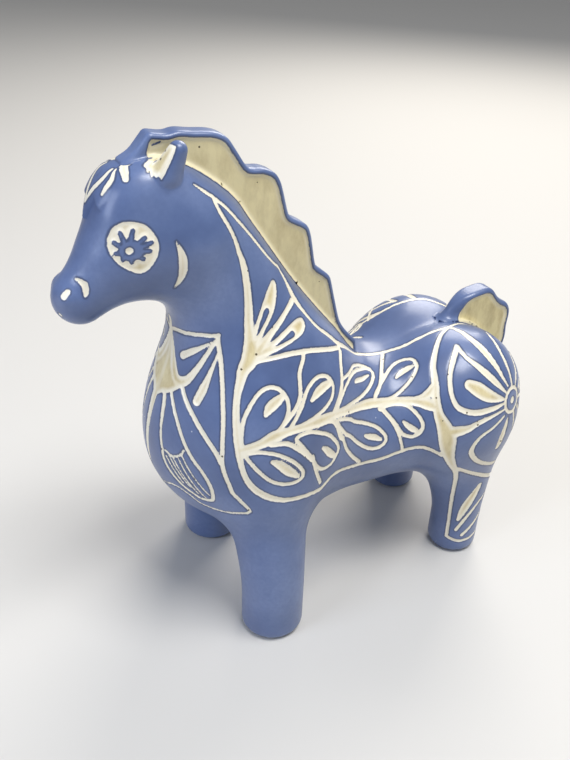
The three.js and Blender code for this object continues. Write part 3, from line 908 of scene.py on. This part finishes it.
# ---- The joints: the skin parted into body, neck, head and four legs ----
# The potter joins these parts with slip and sponges the seams away, so each cut is flat and
# closed and the surface runs on across it. The normals of the whole skin are kept for that.
LEG_JOINT = fore_hi[2]
NECK_JOINT = box_mm("neck_shell")[0][2]
THROAT = (-53, 0, 122)
HEAD_TILT = 0.216


def keep_normals(piece, normals=None):
    flat = mesh_normals(piece) if normals is None else normals
    store = piece.data.attributes.new("kept_normal", "FLOAT_VECTOR", "POINT")
    store.data.foreach_set("vector", flat.ravel())


def use_kept_normals(piece):
    store = piece.data.attributes["kept_normal"]
    flat = np.empty(len(store.data) * 3)
    store.data.foreach_get("vector", flat)
    rows = flat.reshape(-1, 3)
    rows = rows / np.maximum(np.linalg.norm(rows, axis=1), 1e-9)[:, None]
    piece.data.attributes.remove(store)
    piece.data.shade_smooth()
    piece.data.normals_split_custom_set_from_vertices(rows.tolist())


keep_normals(whole)


def copy_of(piece, name):
    made = piece.copy()
    made.data = piece.data.copy()
    made.name = name
    bpy.context.scene.collection.objects.link(made)
    return made


def cut_away(piece, point, towards):
    """Cuts off what lies on the far side of a plane from the given direction, and closes it."""
    only(piece)
    bpy.ops.object.mode_set(mode="EDIT")
    bpy.ops.mesh.select_all(action="SELECT")
    bpy.ops.mesh.bisect(
        plane_co=Vector(point) * MM, plane_no=towards, use_fill=True, clear_inner=True, threshold=1e-7
    )
    bpy.ops.object.mode_set(mode="OBJECT")


head_way = (-math.cos(HEAD_TILT), 0, math.sin(HEAD_TILT))
neck_way = tuple(-c for c in head_way)
upper = copy_of(whole, "upper_skin")
cut_away(upper, (0, 0, NECK_JOINT), (0, 0, 1))
head_piece = copy_of(upper, "head_glazed")
cut_away(head_piece, THROAT, head_way)
neck_piece = upper
neck_piece.name = "neck_glazed"
cut_away(neck_piece, THROAT, neck_way)
legs = copy_of(whole, "legs")
cut_away(legs, (0, 0, LEG_JOINT), (0, 0, -1))
body_piece = whole
body_piece.name = "body_glazed"
cut_away(body_piece, (0, 0, LEG_JOINT), (0, 0, 1))
cut_away(body_piece, (0, 0, NECK_JOINT), (0, 0, -1))
only(legs)
bpy.ops.object.mode_set(mode="EDIT")
bpy.ops.mesh.select_all(action="SELECT")
bpy.ops.mesh.separate(type="LOOSE")
bpy.ops.object.mode_set(mode="OBJECT")
leg_pieces = list(bpy.context.selected_objects)
leg_nodes = {}
for piece in leg_pieces:
    middle = points_of(piece).mean(0)
    place = ("front" if middle[0] < 0 else "hind") + ("_left" if middle[1] < 0 else "_right")
    piece.name = "leg_" + place + "_glazed"
    leg_nodes[piece.name] = "leg_" + place
for piece in [body_piece, neck_piece, head_piece] + leg_pieces:
    use_kept_normals(piece)
for piece, part, skirt in (
    (mane_piece, mane, 1.0), (tail_piece, tail, 2.8), (forelock_piece, forelock, 0.5),
    (ear_pieces[0], ear, 0.9), (ear_pieces[1], ear, 0.9),
):
    p = points_of(piece)
    foot = smooth_step(part(p), skirt - 0.9, skirt - 0.25)[:, None]
    keep_normals(piece, mesh_normals(piece) * (1 - foot) + field_normals(skin, p) * foot)
    use_kept_normals(piece)

# ---- Glaze and bare clay ----
# Cornflower-blue satin-matt glaze over cream earthenware. The stored cut says where the glaze
# is gone, so one fired surface shows both.


def linear(hex_colour):
    parts = [int(hex_colour[i : i + 2], 16) / 255 for i in (1, 3, 5)]
    return tuple(c / 12.92 if c <= 0.04045 else ((c + 0.055) / 1.055) ** 2.4 for c in parts) + (1,)


def add(tree, kind, sockets=(), **settings):
    made = tree.nodes.new(kind)
    for name, value in settings.items():
        setattr(made, name, value)
    for name, value in dict(sockets).items():
        if isinstance(value, bpy.types.NodeSocket):
            tree.links.new(value, made.inputs[name])
        else:
            made.inputs[name].default_value = value
    return made


def fired_surface(name, blue, blue_deep, blue_pale, cream, cream_pale, stain, stain_share):
    material = bpy.data.materials.new(name)
    material.use_nodes = True
    tree = material.node_tree
    tree.nodes.clear()
    place = add(tree, "ShaderNodeTexCoord").outputs["Object"]
    cut = add(tree, "ShaderNodeAttribute", attribute_name="cut").outputs["Fac"]
    # The loop tool's edge wavers by about a tenth of a millimetre, on a 1.1 mm noise
    waver = add(tree, "ShaderNodeTexNoise", {"Vector": place, "Scale": 900, "Detail": 2}).outputs["Fac"]
    edge = add(tree, "ShaderNodeMath", {0: waver, 1: 0.34, 2: cut}, operation="MULTIPLY_ADD").outputs[0]
    edge = add(tree, "ShaderNodeMath", {0: edge, 1: 0.17}, operation="SUBTRACT").outputs[0]
    bare = add(
        tree, "ShaderNodeMapRange",
        {"Value": edge, "From Min": -0.1, "From Max": 0.1, "To Min": 1.0, "To Max": 0.0},
        interpolation_type="SMOOTHSTEP",
    ).outputs["Result"]
    # Pale flecks half a millimetre wide, where the glaze pulled off a grain, some 15 mm apart
    cells = add(tree, "ShaderNodeTexVoronoi", {"Vector": place, "Scale": 260})
    tint = add(tree, "ShaderNodeSeparateColor", {"Color": cells.outputs["Color"]})
    fleck = add(
        tree, "ShaderNodeMath", {0: cells.outputs["Distance"], 1: 0.06}, operation="LESS_THAN"
    ).outputs[0]
    chosen = add(tree, "ShaderNodeMath", {0: tint.outputs[0], 1: 0.93}, operation="GREATER_THAN").outputs[0]
    fleck = add(tree, "ShaderNodeMath", {0: fleck, 1: chosen}, operation="MULTIPLY").outputs[0]
    # Glaze colour drifts over 24 mm, and is mottled at 1.4 mm
    drift = add(tree, "ShaderNodeTexNoise", {"Vector": place, "Scale": 42, "Detail": 3}).outputs["Fac"]
    mottle = add(tree, "ShaderNodeTexNoise", {"Vector": place, "Scale": 700, "Detail": 3}).outputs["Fac"]
    ramp = add(tree, "ShaderNodeValToRGB", {"Fac": drift})
    ramp.color_ramp.elements[0].position = 0.3
    ramp.color_ramp.elements[0].color = linear(blue_deep)
    ramp.color_ramp.elements[1].position = 0.72
    ramp.color_ramp.elements[1].color = linear(blue_pale)
    middle = ramp.color_ramp.elements.new(0.5)
    middle.color = linear(blue)
    fine = add(
        tree, "ShaderNodeMapRange",
        {"Value": mottle, "From Min": 0.3, "From Max": 0.75, "To Min": 0.0, "To Max": 0.28},
    ).outputs["Result"]
    glaze = add(
        tree, "ShaderNodeMix", {0: fine, 6: ramp.outputs["Color"], 7: linear(blue_deep)}, data_type="RGBA"
    ).outputs[2]
    # Glaze gathers in a dark thin line along each cut; the line also holds painted shade, the shadow of the
    # cut's little wall
    away = add(tree, "ShaderNodeMath", {0: edge, 1: 0.24}, operation="SUBTRACT").outputs[0]
    away = add(tree, "ShaderNodeMath", {0: away}, operation="ABSOLUTE").outputs[0]
    rim = add(
        tree, "ShaderNodeMapRange",
        {"Value": away, "From Min": 0.0, "From Max": 0.42, "To Min": 0.8, "To Max": 0.0},
    ).outputs["Result"]
    glaze = add(
        tree, "ShaderNodeMix", {0: rim, 6: glaze, 7: linear("#34405f")}, data_type="RGBA"
    ).outputs[2]
    glaze = add(
        tree, "ShaderNodeMix", {0: fleck, 6: glaze, 7: linear("#b9c0cf")}, data_type="RGBA"
    ).outputs[2]
    # Bare clay: paler in the narrow lines, stained brown by the kiln where it lies open
    open_clay = add(
        tree, "ShaderNodeMapRange",
        {"Value": cut, "From Min": -0.7, "From Max": -1.9, "To Min": 0.0, "To Max": 1.0},
    ).outputs["Result"]
    clay = add(
        tree, "ShaderNodeMix", {0: open_clay, 6: linear(cream_pale), 7: linear(cream)}, data_type="RGBA"
    ).outputs[2]
    # The kiln's stain hangs in upright streaks 5 mm wide
    streaks = add(tree, "ShaderNodeMapping", {"Vector": place, "Scale": (1.0, 1.0, 0.45)}).outputs["Vector"]
    cloud = add(
        tree, "ShaderNodeTexNoise", {"Vector": streaks, "Scale": 190, "Detail": 5, "Roughness": 0.62}
    ).outputs["Fac"]
    cloud = add(
        tree, "ShaderNodeMapRange",
        {"Value": cloud, "From Min": 0.42, "From Max": 0.72, "To Min": 0.0, "To Max": stain_share},
    ).outputs["Result"]
    cloud = add(tree, "ShaderNodeMath", {0: cloud, 1: open_clay}, operation="MULTIPLY").outputs[0]
    clay = add(tree, "ShaderNodeMix", {0: cloud, 6: clay, 7: linear(stain)}, data_type="RGBA").outputs[2]
    # Pinholes 0.7 mm wide, some 9 mm apart
    pits = add(tree, "ShaderNodeTexVoronoi", {"Vector": place, "Scale": 430})
    pit_tint = add(tree, "ShaderNodeSeparateColor", {"Color": pits.outputs["Color"]})
    pit = add(
        tree, "ShaderNodeMath", {0: pits.outputs["Distance"], 1: 0.16}, operation="LESS_THAN"
    ).outputs[0]
    few = add(
        tree, "ShaderNodeMath", {0: pit_tint.outputs[1], 1: 0.94}, operation="GREATER_THAN"
    ).outputs[0]
    pit = add(tree, "ShaderNodeMath", {0: pit, 1: few}, operation="MULTIPLY").outputs[0]
    clay = add(tree, "ShaderNodeMix", {0: pit, 6: clay, 7: linear("#5d5238")}, data_type="RGBA").outputs[2]
    colour = add(tree, "ShaderNodeMix", {0: bare, 6: glaze, 7: clay}, data_type="RGBA").outputs[2]
    # Satin glaze against dry clay, both a little uneven
    sheen = add(
        tree, "ShaderNodeMapRange",
        {"Value": bare, "From Min": 0.0, "From Max": 1.0, "To Min": 0.4, "To Max": 0.5},
    ).outputs["Result"]
    rough = add(tree, "ShaderNodeMath", {0: mottle, 1: 0.1, 2: sheen}, operation="MULTIPLY_ADD").outputs[0]
    # Relief: the edge of the cut, orange peel on the glaze, and 2 mm grain on the clay
    grain = add(tree, "ShaderNodeTexNoise", {"Vector": place, "Scale": 520, "Detail": 4}).outputs["Fac"]
    peel = add(tree, "ShaderNodeMath", {0: bare, 1: 0.35, 2: 0.1}, operation="MULTIPLY_ADD").outputs[0]
    height = add(tree, "ShaderNodeMath", {0: grain, 1: peel}, operation="MULTIPLY").outputs[0]
    height = add(tree, "ShaderNodeMath", {0: height, 1: bare}, operation="SUBTRACT").outputs[0]
    height = add(tree, "ShaderNodeMath", {0: pit, 1: -0.8, 2: height}, operation="MULTIPLY_ADD").outputs[0]
    bump = add(
        tree, "ShaderNodeBump", {"Height": height, "Strength": 0.6, "Distance": 0.00022}
    ).outputs["Normal"]
    shader = add(
        tree, "ShaderNodeBsdfPrincipled",
        {
            "Base Color": colour,
            "Roughness": rough,
            "Normal": bump,
            "IOR": 1.5,
            "Coat Weight": 0.55,
            "Coat Roughness": 0.22,
        },
    )
    add(tree, "ShaderNodeOutputMaterial", {"Surface": shader.outputs[0]})
    return material


# Satin cornflower glaze: soft wide highlights, slightly cloudy blue, crisp cream drawing
satin_blue = fired_surface(
    "Satin_cornflower_glaze_cut_to_cream_clay",
    blue="#576b98",
    blue_deep="#485b87",
    blue_pale="#6a7da8",
    cream="#dfd1a4",
    cream_pale="#f1ead6",
    stain="#a58c5a",
    stain_share=0.65,
)
# Crest clay: the same glaze on the rims, and an open cream panel with brown kiln stain
cream_crest = fired_surface(
    "Bare_cream_earthenware_in_blue_rim",
    blue="#576b98",
    blue_deep="#485b87",
    blue_pale="#6d80ab",
    cream="#dfd19c",
    cream_pale="#e8ddb8",
    stain="#9a8453",
    stain_share=0.7,
)

pieces = [(body_piece, "body_shell"), (neck_piece, "neck_shell"), (head_piece, "head_shell")]
pieces += [(piece, leg_nodes[piece.name]) for piece in leg_pieces]
pieces += [(ear_pieces[0], "ear_left"), (ear_pieces[1], "ear_right"), (forelock_piece, "forelock")]
pieces += [(mane_piece, "mane_crest"), (tail_piece, "tail")]
for piece, node_name in pieces:
    is_crest = node_name in ("mane_crest", "tail")
    piece.data.materials.clear()
    piece.data.materials.append(cream_crest if is_crest else satin_blue)
    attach(piece, "root")
    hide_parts(node_name)

# ---- Floor, light and camera ----
# A plain pale sheet to stand on, a window-like light from behind on the right, a soft broad
# light from the left front, and the camera above the near shoulder.
bpy.ops.object.select_all(action="DESELECT")
bpy.ops.mesh.primitive_plane_add(size=16)
floor = bpy.context.object
floor.name = "floor"
paper = bpy.data.materials.new("Pale_matt_backdrop_paper")
paper.use_nodes = True
paper_shader = paper.node_tree.nodes["Principled BSDF"]
paper_shader.inputs["Base Color"].default_value = linear("#cfcdc9")
paper_shader.inputs["Roughness"].default_value = 0.85
floor.data.materials.append(paper)

world = bpy.data.worlds.new("soft room")
world.use_nodes = True
sky = world.node_tree.nodes["Background"]
sky.inputs["Color"].default_value = linear("#e4e6ea")
sky.inputs["Strength"].default_value = 0.36
bpy.context.scene.world = world


def soft_light(name, place, aim, width, height, power, hex_colour):
    light = bpy.data.lights.new(name, "AREA")
    light.shape = "RECTANGLE"
    light.size = width
    light.size_y = height
    light.energy = power
    light.color = linear(hex_colour)[:3]
    holder = bpy.data.objects.new(name, light)
    bpy.context.scene.collection.objects.link(holder)
    holder.location = place
    holder.rotation_euler = (Vector(aim) - Vector(place)).to_track_quat("-Z", "Y").to_euler()


soft_light("window", (0.62, 0.6, 0.72), (0, 0, 0.08), 0.55, 0.7, 7.5, "#fffaf2")
soft_light("overhead", (0.14, -0.3, 0.98), (0, 0, 0.08), 0.5, 0.36, 8.5, "#ffffff")
soft_light("left fill", (-0.85, -0.1, 0.48), (0, 0, 0.1), 0.4, 0.5, 3.6, "#dce8ff")

PITCH, YAW, ROLL = math.radians(32.3), math.radians(28.5), math.radians(-2.2)
ahead = Vector((math.sin(YAW) * math.cos(PITCH), math.cos(YAW) * math.cos(PITCH), -math.sin(PITCH)))
level_right = Vector((math.cos(YAW), -math.sin(YAW), 0))
level_down = ahead.cross(level_right)
right = level_right * math.cos(ROLL) + level_down * math.sin(ROLL)
back = -ahead
up = back.cross(right)
lens = bpy.data.cameras.new("camera")
lens.sensor_width = 36
lens.lens = 37.85
camera = bpy.data.objects.new("camera", lens)
turn = Matrix((right, up, back)).transposed().to_4x4()
camera.matrix_world = Matrix.Translation((-0.124924, -0.209608, 0.234824)) @ turn
bpy.context.scene.collection.objects.link(camera)
bpy.context.scene.camera = camera

bpy.context.scene.view_settings.view_transform = "Standard"
